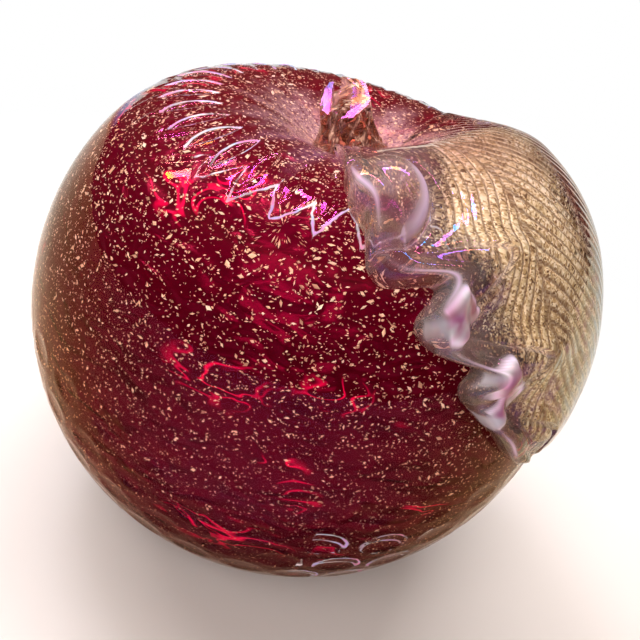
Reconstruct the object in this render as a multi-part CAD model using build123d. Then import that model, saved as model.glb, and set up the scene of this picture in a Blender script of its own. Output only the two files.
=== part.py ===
from build123d import *
import os
from math import acos, asin, cos, degrees, hypot, pi, radians, sin, sqrt

# Art glass apple: cased ruby body, drawn stem and gold-filled leaf with a frilled edge.
# Millimetres and degrees. Z is the axis of the apple, its ground base lies on Z = 0, and the leaf runs along +X.

# Body: three tangent arcs turned about the axis
belly_radius = 57.0
base_radius = 22.2
shoulder_radius = 28.5
shoulder_angle = 59.3
bowl_radius = 18.0
base_edge_radius = 1.2

# Layers of the body, from the outside inwards
casing_wall = 4.0
gold_layer = 0.3
ruby_wall = 5.0

# Moulded flutes on the shoulder, left out where the leaf has melted them flat
flute_pitch = 10.9
flute_radius = 4.0
flute_depth = 0.5
flute_tilt = 20.0
flute_first = 81.8
flute_count = 22

# Stem, drawn up from the bowl and leaning away from the leaf
stem_height = 13.0
stem_foot_radius = 9.0
stem_foot_height = 1.0
stem_foot_spread = 2.0
stem_waist_radius = 5.4
stem_waist_height = 7.0
stem_tip_radius = 4.8
stem_root = 4.0
stem_lean = 19.0
stem_heading = 212.0
stem_cut_slope = 28.0
stem_nick_width = 1.6
stem_nick_depth = 2.0
stem_nick_offset = 1.8
stem_core_radius = 2.8
stem_core_swell = 0.6
stem_core_thinning = 0.5
stem_core_swell_height = 5.0
stem_core_cover = 3.6

# Leaf, measured along its midrib from the axis of the apple
leaf_start = 7.0
leaf_end = 84.0
leaf_rise = 6.7
leaf_base_rise = 1.8
leaf_tip_rise = 3.2
leaf_edge_rise = 6.6
leaf_edge_round = 2.0
leaf_left_width = 32.0
leaf_left_base = 10.0
leaf_right_width = 36.0
leaf_right_base = 24.0
leaf_tip_width = 2.0
leaf_swell = 20.0
leaf_bend = 1.8
leaf_taper = 3.6
leaf_bed = 1.0
leaf_section_count = 21
section_shares = (-1.0, -0.7, -0.4, 0.0, 0.4, 0.7, 1.0)

# Frill along the left edge of the leaf
frill_start = 14.0
frill_waves = 4
frill_crowding = 1.15
frill_pull = 8.5
frill_pull_start = 20.0
frill_pull_end = 80.0
frill_pull_ease = 16.0
frill_lift = 4.5
frill_reach = 22.0
frill_hollow = 1.3
frill_thickness = 3.2

# Gold leaf inside the leaf
leaf_gold_height = 1.7
leaf_gold_thickness = 0.8
leaf_gold_margin = 2.0
leaf_gold_left = 19.5
leaf_gold_left_tip = 6.4
leaf_gold_widest = 38.0
leaf_gold_draw = 1.3
leaf_gold_right = 16.0
leaf_gold_right_base = 30.0
leaf_gold_right_start = 30.0
leaf_gold_right_end = 48.0
leaf_gold_base = 12.0
leaf_gold_tip = 9.0

# Centres of the three arcs of the body, as (distance from the axis, height)
belly_height = sqrt(belly_radius**2 - base_radius**2)
belly_centre = (0.0, belly_height)
shoulder_offset = belly_radius - shoulder_radius
shoulder_centre = (
    shoulder_offset * sin(radians(shoulder_angle)),
    belly_height + shoulder_offset * cos(radians(shoulder_angle)),
)
bowl_reach = shoulder_radius + bowl_radius
bowl_angle = degrees(asin(shoulder_centre[0] / bowl_reach))
bowl_centre = (0.0, shoulder_centre[1] + bowl_reach * cos(radians(bowl_angle)))
bowl_bottom = bowl_centre[1] - bowl_radius


def rim_point(centre, radius, angle):
    """Point of a circle in the half section, at an angle from straight up."""
    return (centre[0] + radius * sin(radians(angle)), centre[1] + radius * cos(radians(angle)))


def rim_arc(centre, radius, start, end):
    """Arc of such a circle from one angle to another."""
    middle = (start + end) / 2
    return ThreePointArc(*(rim_point(centre, radius, angle) for angle in (start, middle, end)))


def apple(depth):
    """Solid of the apple's form, a given depth inside its outer surface."""
    base_angle = degrees(acos((depth - belly_height) / (belly_radius - depth)))
    belly = rim_arc(belly_centre, belly_radius - depth, base_angle, shoulder_angle)
    shoulder = rim_arc(shoulder_centre, shoulder_radius - depth, shoulder_angle, -bowl_angle)
    bowl = rim_arc(bowl_centre, bowl_radius + depth, 180 - bowl_angle, 180)
    closing = Polyline(bowl @ 1, (0, depth), belly @ 0)
    return revolve(Plane.XZ * make_face(belly + shoulder + bowl + closing), Axis.Z)


def clear_of_skin(radius, height):
    """Distance of a point from the outer surface, positive outside."""
    out, up = radius - shoulder_centre[0], height - shoulder_centre[1]
    if radius * cos(radians(shoulder_angle)) > (height - belly_height) * sin(radians(shoulder_angle)):
        return hypot(radius, height - belly_height) - belly_radius
    if out * cos(radians(bowl_angle)) > -up * sin(radians(bowl_angle)):
        return hypot(out, up) - shoulder_radius
    return bowl_radius - hypot(radius, height - bowl_centre[1])


def midrib(station):
    """Place (distance out, height) and slope angle of the skin at a length along the leaf's midrib."""
    bowl_length = bowl_radius * radians(bowl_angle)
    shoulder_length = shoulder_radius * radians(bowl_angle + shoulder_angle)
    if station < bowl_length:
        slope = -degrees(station / bowl_radius)
        return rim_point(bowl_centre, bowl_radius, 180 + slope), slope
    if station < bowl_length + shoulder_length:
        slope = degrees((station - bowl_length) / shoulder_radius) - bowl_angle
        return rim_point(shoulder_centre, shoulder_radius, slope), slope
    slope = degrees((station - bowl_length - shoulder_length) / belly_radius) + shoulder_angle
    return rim_point(belly_centre, belly_radius, slope), slope


def over_skin(station, across, height):
    """Point across the leaf from the midrib, at a height over the skin, in the cross plane of a station."""
    (out, up), slope = midrib(station)
    lift = height
    for _ in range(30):
        x = out + lift * sin(radians(slope))
        z = up + lift * cos(radians(slope))
        lift += height - clear_of_skin(hypot(x, across), z)
    return Vector(x, across, z)


def smooth(share):
    """Ease from 0 to 1."""
    share = min(max(share, 0.0), 1.0)
    return share * share * (3 - 2 * share)


def leaf_share(station):
    """Length along the leaf as a share of the whole, and how far the base has swelled to full size."""
    return (station - leaf_start) / (leaf_end - leaf_start), smooth((station - leaf_start) / leaf_swell)


def frill(station):
    """Height of the frill's wave, 0 where it is pinched down and 1 on a crest."""
    share = max(station - frill_start, 0.0) / (leaf_end - frill_start)
    return (1 - cos(2 * pi * frill_waves * share**frill_crowding)) / 2


def leaf_widths(station):
    """Width of the leaf to the left and right of its midrib: a broad base, drawn out to a point."""
    share, swell = leaf_share(station)
    taper = 1 - share**leaf_taper
    pulled = smooth(min(station - frill_pull_start, frill_pull_end - station) / frill_pull_ease) * frill(station)
    left = leaf_left_base + (leaf_left_width - leaf_left_base) * swell - frill_pull * pulled
    right = leaf_right_base + (leaf_right_width - leaf_right_base) * swell
    return max(left * taper, leaf_tip_width), max(right * taper, leaf_tip_width)


def leaf_levels(station, across):
    """How far the frill lifts the leaf at a place, and how thick the leaf is there."""
    share, swell = leaf_share(station)
    left, right = leaf_widths(station)
    toward_edge = smooth(1 - (left + across) / frill_reach)
    raised = frill_lift * frill(station) * (1 - share**leaf_taper) * toward_edge
    rise = leaf_base_rise + (leaf_rise - leaf_base_rise) * swell + (leaf_tip_rise - leaf_rise) * share**leaf_taper
    if across > 0:
        return raised, rise + (min(leaf_edge_rise, rise) - rise) * (across / right) ** 4
    return raised, rise + (min(frill_thickness, rise) - rise) * (across / left) ** 2


def closed_section(station, left, right, levels, edge_round):
    """Face across the leaf between a lower and an upper line, with rounded edges."""
    bend = -leaf_bend * leaf_share(station)[0] ** 3
    bottom = []
    top = []
    for share in section_shares:
        across = share * (left if share < 0 else right)
        low, high = levels(across)
        bottom.append(over_skin(station, across + bend, low))
        top.append(over_skin(station, across + bend, high))
    spacing = [(1 + share) / 2 for share in section_shares]
    bulge = Vector(0, edge_round, 0)
    edges = [
        Edge.make_spline(top, parameters=spacing),
        ThreePointArc(top[-1], (top[-1] + bottom[-1]) / 2 + bulge, bottom[-1]),
        Edge.make_spline(bottom[::-1], parameters=[1 - place for place in spacing[::-1]]),
        ThreePointArc(bottom[0], (top[0] + bottom[0]) / 2 - bulge, top[0]),
    ]
    return Face(Wire(edges))


def blade_section(station):
    """Cross section of the whole leaf, bedded a little into the skin."""

    def levels(across):
        raised, thickness = leaf_levels(station, across)
        return raised * frill_hollow - leaf_bed, raised + thickness

    left, right = leaf_widths(station)
    return closed_section(station, left, right, levels, leaf_edge_round)


def gold_widths(station):
    """Width of the gold to the left and right of the midrib, clear of the frill and of the thick right edge."""
    left, right = leaf_widths(station)
    spread = smooth((station - frill_start) / (leaf_gold_widest - frill_start))
    drawn = (max(station - leaf_gold_widest, 0.0) / (leaf_end - leaf_gold_widest)) ** leaf_gold_draw
    gold_left = leaf_gold_left * spread + (leaf_gold_left_tip - leaf_gold_left) * drawn
    narrowed = smooth((station - leaf_gold_right_start) / (leaf_gold_right_end - leaf_gold_right_start))
    gold_right = leaf_gold_right_base + (leaf_gold_right - leaf_gold_right_base) * narrowed
    return min(gold_left, left - leaf_gold_margin), min(gold_right, right - leaf_gold_margin)


def gold_section(station):
    """Cross section of the gold leaf inside the leaf."""

    def levels(across):
        raised, _ = leaf_levels(station, across)
        return raised + leaf_gold_height, raised + leaf_gold_height + leaf_gold_thickness

    left, right = gold_widths(station)
    return closed_section(station, left, right, levels, leaf_gold_thickness / 2)


def leaf_form(section, start, end, count):
    """Smooth solid through cross sections along the midrib."""
    step = (end - start) / (count - 1)
    return loft([section(start + i * step) for i in range(count)])


def stem_form(radii, heights):
    """Turned form about the stem's own leaning axis."""
    outline = Spline(*zip(radii, heights))
    closing = Polyline(outline @ 1, (0, heights[-1]), (0, heights[0]), outline @ 0)
    turned = revolve(Plane.XZ * make_face(outline + closing), Axis.Z)
    return Pos(0, 0, bowl_bottom) * Rot(0, 0, stem_heading) * Rot(0, stem_lean, 0) * turned


outer = apple(0)
under_casing = apple(casing_wall)
under_gold = apple(casing_wall + gold_layer)
hollow = apple(casing_wall + gold_layer + ruby_wall)

ruby_bubble = under_gold - hollow
gold_leaf_layer = under_casing - under_gold

# Clear casing: each flute is a cylinder laid along the shoulder
flute_line = rim_point(shoulder_centre, shoulder_radius + flute_radius - flute_depth, flute_tilt)
flute = Pos(flute_line[0], 0, flute_line[1]) * Rot(0, 90 + flute_tilt, 0) * Cylinder(flute_radius, belly_radius)
flutes = [Rot(0, 0, flute_first + i * flute_pitch) * flute for i in range(flute_count)]
base_edge = outer.faces().sort_by(Axis.Z)[0].edges()
clear_casing = fillet(base_edge, base_edge_radius) - flutes - under_casing

# Stem: flared foot, waist and sheared tip with a nick
stem_radii = (stem_foot_radius + stem_foot_spread, stem_foot_radius, stem_waist_radius, stem_tip_radius)
stem_heights = (-stem_root, stem_foot_height, stem_waist_height, stem_height + stem_tip_radius)
stem_top = Pos(0, 0, bowl_bottom) * Rot(0, 0, stem_heading) * Rot(0, stem_lean, 0) * Pos(0, 0, stem_height)
stem_cut = stem_top * Rot(-stem_cut_slope, 0, 0)
shear = stem_cut * Pos(0, 0, belly_radius / 2) * Box(*[belly_radius] * 3)
nick = stem_cut * Pos(stem_nick_offset, 0, 0) * Box(stem_nick_width, belly_radius, 2 * stem_nick_depth)
core_radii = (stem_core_radius, stem_core_radius + stem_core_swell, stem_core_radius - stem_core_thinning)
core_heights = (stem_core_cover, stem_core_swell_height, stem_height - stem_core_cover)
stem_gold = stem_form(core_radii, core_heights)
stem = stem_form(stem_radii, stem_heights) - outer - shear - nick - stem_gold

# Leaf: laid on the casing, fused round the foot of the stem
leaf_gold = leaf_form(gold_section, leaf_start + leaf_gold_base, leaf_end - leaf_gold_tip, leaf_section_count)
leaf_blade = leaf_form(blade_section, leaf_start, leaf_end, leaf_section_count) - outer - stem - leaf_gold

os.makedirs("parts", exist_ok=True)
nodes = {
    "ruby_bubble": ruby_bubble,
    "gold_leaf_layer": gold_leaf_layer,
    "clear_casing": clear_casing,
    "stem_gold": stem_gold,
    "stem": stem,
    "leaf_gold": leaf_gold,
    "leaf_blade": leaf_blade,
}
for name, shape in nodes.items():
    export_step(shape, f"parts/{name}.step")
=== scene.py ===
import math
from functools import partial

import bpy
import numpy as np
from mathutils import Matrix, Vector


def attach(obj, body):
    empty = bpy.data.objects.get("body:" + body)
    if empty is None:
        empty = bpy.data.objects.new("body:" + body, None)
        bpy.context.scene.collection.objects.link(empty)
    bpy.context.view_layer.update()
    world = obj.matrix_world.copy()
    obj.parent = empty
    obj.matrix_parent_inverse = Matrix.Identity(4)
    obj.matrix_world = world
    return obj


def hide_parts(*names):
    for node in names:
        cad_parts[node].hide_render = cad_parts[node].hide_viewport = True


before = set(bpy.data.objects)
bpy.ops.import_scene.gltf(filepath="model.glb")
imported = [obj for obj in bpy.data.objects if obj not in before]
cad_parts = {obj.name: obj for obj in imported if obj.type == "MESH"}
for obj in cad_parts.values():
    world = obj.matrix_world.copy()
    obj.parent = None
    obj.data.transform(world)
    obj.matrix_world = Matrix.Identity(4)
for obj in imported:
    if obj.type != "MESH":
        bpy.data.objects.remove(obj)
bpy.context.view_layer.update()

# Ruby bubble: the first gather of the apple, deep ruby glass blown to a hollow bubble. It is seen through
# the clear casing: near black red on the belly, with painted crimson glints where light would come back
# through its uneven wall, and milky with crushed gold round the neck, where it was drawn in under the stem.
mm = 0.001
belly_radius = 57.0
base_radius = 22.2
belly_height = math.sqrt(belly_radius**2 - base_radius**2)
shoulder_radius = 28.5
shoulder_angle = math.radians(59.3)
bowl_radius = 18.0
casing_wall = 4.0
gold_layer = 0.3
ruby_wall = 5.0
inner_edge_radius = 1.0
shoulder_out = (belly_radius - shoulder_radius) * math.sin(shoulder_angle)
shoulder_up = belly_height + (belly_radius - shoulder_radius) * math.cos(shoulder_angle)
bowl_angle = math.asin(shoulder_out / (shoulder_radius + bowl_radius))
bowl_up = shoulder_up + (shoulder_radius + bowl_radius) * math.cos(bowl_angle)


def linear(colour):
    """An sRGB hex colour as linear RGBA."""
    parts = [int(colour[i : i + 2], 16) / 255 for i in (1, 3, 5)]
    return [p / 12.92 if p <= 0.04045 else ((p + 0.055) / 1.055) ** 2.4 for p in parts] + [1.0]


def add_node(tree, kind, sockets={}, stops=(), **settings):
    """Adds a node, with its settings, the stops of its ramp, and its sockets by name or number.

    A socket gets a value, or a link from a socket or from a node's first output that is in use."""
    made = tree.nodes.new("ShaderNode" + kind)
    for name, value in settings.items():
        setattr(made, name, value)
    for position, _ in stops[2:]:
        made.color_ramp.elements.new(position)
    for number, (position, colour) in enumerate(stops):
        made.color_ramp.elements[number].position = position
        made.color_ramp.elements[number].color = linear(colour)
    for name, value in sockets.items():
        if isinstance(value, bpy.types.Node):
            value = next(output for output in value.outputs if output.enabled)
        if isinstance(value, bpy.types.NodeSocket):
            tree.links.new(value, made.inputs[name])
        else:
            made.inputs[name].default_value = value
    return made


def start_material(name):
    """A new material, what adds a node to its empty tree, and its object coordinates."""
    material = bpy.data.materials.new(name)
    material.use_nodes = True
    material.node_tree.nodes.clear()
    add = partial(add_node, material.node_tree)
    return material, add, add("TexCoord").outputs["Object"]


def per(size):
    """Texture scale for a feature of a size in millimetres."""
    return 1 / (size * mm)


def points_of(piece):
    """A mesh's points, in millimetres."""
    flat = np.zeros(len(piece.data.vertices) * 3)
    piece.data.vertices.foreach_get("co", flat)
    return flat.reshape(-1, 3) / mm


def set_points(piece, points):
    """Moves a mesh's points to places in millimetres."""
    piece.data.vertices.foreach_set("co", (np.asarray(points) * mm).ravel())
    piece.data.update()


def keep(piece, **layers):
    """Keeps numbers of a mesh's points under the names by which its material reads them."""
    for name, values in layers.items():
        layer = piece.data.attributes.new(name, "FLOAT", "POINT")
        layer.data.foreach_set("value", values.astype(np.float32))


def around_axis(radius, turn, height):
    """Places at a radius from the z axis, a turn round it and a height."""
    return np.stack([radius * np.cos(turn), radius * np.sin(turn), height], axis=1)


def ring_sphere(name, segments, rings):
    """A sphere primitive to be shaped, with the ring number and the turn of each of its points."""
    bpy.ops.object.select_all(action="DESELECT")
    bpy.ops.mesh.primitive_uv_sphere_add(segments=segments, ring_count=rings, radius=1.0)
    piece = bpy.context.active_object
    piece.name = piece.data.name = name
    x, y, z = points_of(piece).T * mm
    ring = np.rint(np.arccos(np.clip(z, -1, 1)) / math.pi * rings).astype(int)
    bpy.ops.object.shade_smooth()
    return piece, ring, np.arctan2(y, x)


def apple_line(depth, edge_radius, rings, fineness):
    """Half section of the apple, a depth inside its skin, as radii and heights from top to bottom.

    fineness(radius, height) is how closely the points lie."""
    up = np.linspace(0, bowl_angle, 300)
    bowl = (bowl_radius + depth) * np.array([np.sin(up), -np.cos(up)]) + [[0], [bowl_up]]
    over = np.linspace(-bowl_angle, shoulder_angle, 600)
    shoulder = (shoulder_radius - depth) * np.array([np.sin(over), np.cos(over)])
    shoulder += [[shoulder_out], [shoulder_up]]
    belly = belly_radius - depth
    edge_angle = math.acos((depth + edge_radius - belly_height) / (belly - edge_radius))
    down = np.linspace(shoulder_angle, edge_angle, 900)
    side = belly * np.array([np.sin(down), np.cos(down)]) + [[0], [belly_height]]
    under = np.linspace(edge_angle, math.pi, 60)
    edge = edge_radius * np.array([np.sin(under), np.cos(under)])
    edge += [[(belly - edge_radius) * math.sin(edge_angle)], [depth + edge_radius]]
    foot = np.array([np.linspace(edge[0, -1], 0, 200), np.full(200, depth)])
    line = np.concatenate([bowl, shoulder[:, 1:], side[:, 1:], edge[:, 1:], foot[:, 1:]], axis=1)
    steps = np.hypot(*np.diff(line, axis=1))
    middle = (line[:, 1:] + line[:, :-1]) / 2
    share = np.concatenate([[0], np.cumsum(steps * fineness(*middle))])
    wanted = np.linspace(0, share[-1], rings + 1)
    return np.array([np.interp(wanted, share, row) for row in line])


def turned(name, line, segments):
    """A closed turned form through the points of a half section."""
    piece, ring, turn = ring_sphere(name, segments, line.shape[1] - 1)
    radius, height = line[:, ring]
    set_points(piece, around_axis(radius, turn, height))
    return piece


def even(radius, height):
    return np.ones_like(radius)


def hollow_out(piece, line, segments):
    """Gives a turned form an inner wall through the points of another half section."""
    inner = turned(piece.name + "_inside", line, segments)
    bpy.ops.object.mode_set(mode="EDIT")
    bpy.ops.mesh.select_all(action="SELECT")
    bpy.ops.mesh.flip_normals()
    bpy.ops.object.mode_set(mode="OBJECT")
    piece.select_set(True)
    bpy.context.view_layer.objects.active = piece
    bpy.ops.object.join()


def dress(piece, material, slot, *nodes):
    """Gives a piece its material and its place in the frame."""
    piece.data.materials.clear()
    piece.data.materials.append(material)
    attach(piece, "root")
    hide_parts(*nodes)


ruby_depth = casing_wall + gold_layer
ruby_bubble = turned("ruby_glass_bubble", apple_line(ruby_depth, inner_edge_radius, 120, even), 240)
hollow_out(ruby_bubble, apple_line(ruby_depth + ruby_wall, inner_edge_radius, 32, even), 48)

# Ruby glass, gold ruby melt: deep red by its depth and cloudy, with a wavy skin. Bright red glints are
# painted along cords in the melt, in the places where light would come back through them.
ruby, add, place = start_material("ruby_glass")
ruby_deep = linear("#4a000c")
ruby_dark = linear("#340007")
ruby_painted_shoulder_light = linear("#5c0119")
ruby_painted_glint = linear("#ff0a4e")
ruby_shine = linear("#ff1a5e")
neck_violet = linear("#b89cc4")
neck_front = (0.53, -0.85, 0)
neck_inner = 31.0
neck_outer = 50.0
neck_lowest = 70.0
painted_shoulder_light_from = 66.0
painted_shoulder_light_to = 88.0
cord_size = 10.0
cord_stretch = 2.2
# Each painted glint place is x, y and z, and how far the painted glint reaches.
painted_glint_places = (
    (18.0, -48.0, 64.0, 11.0),
    (34.0, -37.0, 67.0, 8.0),
    (32.0, -42.0, 52.6, 5.0),
    (48.4, -19.5, 45.0, 6.0),
    (24.0, -42.0, 31.5, 14.0),
    (-4.5, -40.5, 85.0, 10.0),
    (5.0, -36.0, 88.5, 9.0),
)
cloud = add("TexNoise", {"Vector": place, "Scale": per(22), "Detail": 3.0})
body = add("Mix", {0: cloud, 6: ruby_dark, 7: ruby_deep}, data_type="RGBA")
height = add("SeparateXYZ", {"Vector": place}).outputs["Z"]
# Painted light: the ruby is painted lighter crimson from the belly up towards the shoulder.
painted_shoulder_light = add(
    "MapRange",
    {"Value": height, "From Min": painted_shoulder_light_from * mm, "From Max": painted_shoulder_light_to * mm, "To Max": 0.55},
    interpolation_type="SMOOTHSTEP",
)
body = add("Mix", {0: painted_shoulder_light, 6: body, 7: ruby_painted_shoulder_light}, data_type="RGBA")
flat_place = add("VectorMath", {0: place, 1: (1, 1, 0)}, operation="MULTIPLY")
heading = add("VectorMath", {0: flat_place}, operation="NORMALIZE")
streaks = add("TexNoise", {"Vector": place, "Scale": per(3.5), "Detail": 4.0, "Roughness": 0.7})
spokes = add("TexNoise", {"Vector": heading, "Scale": 3.2, "Detail": 2.0})
ragged = add("VectorMath", {0: flat_place}, operation="LENGTH")
for noise, reach in ((streaks, 14), (spokes, 34)):
    ragged = add("Math", {0: noise, 1: reach * mm, 2: ragged}, operation="MULTIPLY_ADD")
neck = add(
    "MapRange",
    {
        "Value": ragged,
        "From Min": neck_inner * mm,
        "From Max": neck_outer * mm,
        "To Min": 1.0,
        "To Max": 0.0,
    },
    interpolation_type="SMOOTHSTEP",
)
high = add("Math", {0: height, 1: neck_lowest * mm}, operation="GREATER_THAN")
neck = add("Math", {0: neck, 1: high}, operation="MULTIPLY")
dust = add("TexNoise", {"Vector": place, "Scale": per(0.9), "Detail": 3.0, "Roughness": 0.8})
dusty = add("ValToRGB", {"Fac": dust}, ((0.36, "#6c3a42"), (0.5, "#b8949e"), (0.66, "#e2b6a0")))
# The neck is tinted a darker violet on its side that faces the camera.
in_front = add("VectorMath", {0: heading, 1: neck_front}, operation="DOT_PRODUCT")
in_front = add("MapRange", {"Value": in_front, "From Min": 0.1, "From Max": 0.9})
dusty = add("Mix", {0: in_front, 6: dusty, 7: neck_violet}, data_type="RGBA", blend_type="MULTIPLY")
body = add("Mix", {0: neck, 6: body, 7: dusty}, data_type="RGBA")
drawn = add("Mapping", {"Vector": place, "Scale": (1, 1, cord_stretch)})
melt = add("TexNoise", {"Vector": drawn, "Scale": per(cord_size), "Detail": 1.0, "Distortion": 1.0})
off_painted_glint_line = add("Math", {0: melt, 1: 0.5}, operation="SUBTRACT")
off_painted_glint_line = add("Math", {0: off_painted_glint_line}, operation="ABSOLUTE")
painted_glint_line = add(
    "MapRange", {"Value": off_painted_glint_line, "From Min": 0.008, "From Max": 0.04, "To Min": 1.0, "To Max": 0.0}
)
painted_glint_share = add("MapRange", {"Value": cloud, "From Min": 0.64, "From Max": 0.74})
for x, y, z, reach in painted_glint_places:
    centre = (x * mm, y * mm, z * cord_stretch * mm)
    near = add("VectorMath", {0: drawn, 1: centre}, operation="DISTANCE")
    near = add(
        "MapRange",
        {"Value": near, "From Min": 0.4 * reach * mm, "From Max": reach * mm, "To Min": 1.0, "To Max": 0.0},
    )
    painted_glint_share = add("Math", {0: painted_glint_share, 1: near}, operation="MAXIMUM")
# Painted highlight: bright red glints along the cord lines at the listed places.
painted_glint_share = add("Math", {0: painted_glint_line, 1: painted_glint_share}, operation="MULTIPLY")
body = add("Mix", {0: painted_glint_share, 6: body, 7: ruby_painted_glint}, data_type="RGBA")
wavy = add("Bump", {"Height": melt, "Strength": 1.0, "Distance": 1.2 * mm})
shader = add(
    "BsdfPrincipled",
    {"Base Color": body, "Roughness": 0.22, "IOR": 1.6, "Specular Tint": ruby_shine, "Normal": wavy},
)
add("OutputMaterial", {"Surface": shader})
dress(ruby_bubble, ruby, "ruby_glass", "ruby_bubble")

# Gold leaf layer: leaf gold that the ruby bubble was rolled in. Blowing the bubble tore it to thousands of
# small flecks, which lie between the ruby and the clear glass, drawn out round the belly and finer low down.
fleck_count = 46000
fleck_half_length = 0.265
fleck_spread = 0.45
fleck_largest = 1.0
fleck_thickness = 0.07
fleck_tilt = 0.16
fleck_swing = 0.75
fleck_slimness = (0.28, 0.62)
fleck_ragged = (0.65, 1.1)
fleck_dimmed = 0.45
fleck_fine = 0.5
fleck_fine_height = 30.0
fleck_full_height = 84.0
burst_turn = math.radians(-68.3)
burst_radius = 40.7
burst_reach = 5.5
burst_slimming = 0.7
burst_stretch = 1.25
draws = np.random.default_rng(41)

bpy.ops.object.select_all(action="DESELECT")
bpy.ops.mesh.primitive_cone_add(vertices=3)
one_fleck = bpy.context.active_object
fleck_faces = np.array([face.vertices for face in one_fleck.data.polygons])
tip = np.argmax(points_of(one_fleck)[:, 2])
foot = fleck_faces[np.all(fleck_faces != tip, axis=1)][0]
fleck_points = np.zeros((4, 3))
fleck_points[[tip, *foot]] = [[1, 0, 1], [-1, 0, 1], [0, 1, -1], [0, -1, -1]]
bpy.data.objects.remove(one_fleck)

track = apple_line(casing_wall, inner_edge_radius, 4000, even)
track = track[:, track[1] > casing_wall + 0.5]
around = np.concatenate([[0], np.cumsum(np.hypot(*np.diff(track, axis=1)) * (track[0, 1:] + track[0, :-1]))])
at = np.interp(draws.uniform(0, around[-1], fleck_count), around, np.arange(track.shape[1]))
fleck_out, fleck_up = (np.interp(at, np.arange(track.shape[1]), row) for row in track)
fleck_turn = draws.uniform(-math.pi, math.pi, fleck_count)
slope = np.arctan2(*[np.interp(at, np.arange(track.shape[1]), np.gradient(row)) for row in track][::-1])
outward = around_axis(1, fleck_turn, np.zeros(fleck_count))
along = np.stack([-outward[:, 1], outward[:, 0], outward[:, 2]], axis=1)
upward = np.array([0.0, 0.0, 1.0])
normal = -np.sin(slope)[:, None] * outward + np.cos(slope)[:, None] * upward
normal += draws.normal(0, fleck_tilt, (fleck_count, 3))
normal /= np.linalg.norm(normal, axis=1)[:, None]
swing = draws.normal(0, fleck_swing, fleck_count)
fleck_centre = around_axis(fleck_out, fleck_turn, fleck_up)
burst_tilt = math.asin((burst_radius - shoulder_out) / shoulder_radius)
burst_out = burst_radius - casing_wall * math.sin(burst_tilt)
burst_up = shoulder_up + (shoulder_radius - casing_wall) * math.cos(burst_tilt)
burst = [burst_out * math.cos(burst_turn), burst_out * math.sin(burst_turn), burst_up]
at_burst = np.linalg.norm(fleck_centre - burst, axis=1) < burst_reach
along = np.where(at_burst[:, None], fleck_centre - burst, along)
swing = np.where(at_burst, 0, swing)
side = np.cross(normal, along)
side /= np.linalg.norm(side, axis=1)[:, None]
along = np.cos(swing)[:, None] * np.cross(side, normal) + np.sin(swing)[:, None] * side
side = np.cross(normal, along)
half_length = fleck_half_length * np.exp(draws.normal(0, fleck_spread, fleck_count))
half_length = np.minimum(half_length, fleck_largest)
lift = np.clip((fleck_up - fleck_fine_height) / (fleck_full_height - fleck_fine_height), 0, 1)
half_length *= fleck_fine + (1 - fleck_fine) * lift
half_width = half_length * draws.uniform(*fleck_slimness, fleck_count) * np.where(at_burst, burst_slimming, 1)
half_length *= np.where(at_burst, burst_stretch, 1)
ragged_edge = draws.uniform(*fleck_ragged, (fleck_count, len(fleck_points), 1))
corner = fleck_points[None] * ragged_edge
spread = (
    fleck_centre[:, None]
    + corner[:, :, :1] * (half_length[:, None] * along)[:, None]
    + corner[:, :, 1:2] * (half_width[:, None] * side)[:, None]
    + corner[:, :, 2:] * (fleck_thickness / 2 * normal)[:, None]
)
faces = (fleck_faces[None] + (np.arange(fleck_count) * len(fleck_points))[:, None, None]).reshape(-1, 3)
fleck_mesh = bpy.data.meshes.new("gold_flecks")
fleck_mesh.from_pydata((spread.reshape(-1, 3) * mm).tolist(), [], faces.tolist())
# Flecks lower on the belly get darker tones, darker towards the bottom.
shade = draws.uniform(0, 1, fleck_count) * (fleck_dimmed + (1 - fleck_dimmed) * lift)
gold_flecks = bpy.data.objects.new("gold_flecks", fleck_mesh)
bpy.context.scene.collection.objects.link(gold_flecks)
keep(gold_flecks, tone=np.repeat(shade, len(fleck_points)))

# Leaf gold under glass: warm, satin from its creases, each fleck a little lighter or redder than the next.
fleck_gold, add, place = start_material("leaf_gold_flecks")
tone = add("Attribute", attribute_name="tone").outputs["Fac"]
tint = add("ValToRGB", {"Fac": tone}, ((0, "#a87660"), (0.45, "#f0c09c"), (1, "#ffe6cc")))
crease = add("TexNoise", {"Vector": place, "Scale": per(0.3), "Detail": 2.0})
satin = add("MapRange", {"Value": crease, "To Min": 0.28, "To Max": 0.55})
shader = add("BsdfPrincipled", {"Base Color": tint, "Metallic": 0.45, "Roughness": satin})
add("OutputMaterial", {"Surface": shader})
dress(gold_flecks, fleck_gold, "gold_flecked_glass", "gold_leaf_layer")

# Clear casing: the last gather, clear glass over the gold. A ribbed mould left the flutes and the toothed
# edge on its shoulder and round optic hollows low on the belly, the base is ground flat, and metal salts
# gave it a thin lilac lustre.
seam = 0.05
base_edge_radius = 1.2
fluted_height = 86.0
fluted_radius = 36.0
fluted_reach = 10.0
flute_count = 33
flute_first = math.radians(-147.5)
flute_tilt = math.radians(18.0)
flute_half_length = 6.0
flute_half_width = 1.5
flute_depth = 0.34
flute_lip = 0.10
flute_lip_width = 0.5
tooth_inner = math.radians(23.0)
tooth_outer = math.radians(37.0)
tooth_share = 0.74
tooth_uneven = 2.6
tooth_spread = math.radians(4.0)
tooth_height = 0.24
tooth_width = 0.6
burst_width = 2.6
burst_depth = 0.7
dimple_pitch = 2 * math.pi / 28
dimple_first = math.radians(-34.6)
dimple_rows = (46.0, 36.5, 28.0, 20.5)
dimple_half_width = 4.6
dimple_half_height = 3.4
dimple_depth = 0.22
dimple_lip = 0.10
dimple_lip_width = 0.7
dimple_lowest = 8.0
dimple_highest = 60.0
dimple_lined = 41.0
crescent_wide = 0.94
crescent_tall = 0.68
crescent_low = 0.34
rim_turn = math.radians(-31.0)
rim_spread = math.radians(13.0)
petal_end = math.radians(-90.0)
tooth_start = math.radians(-99.0)
far_off = 9.0
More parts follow.
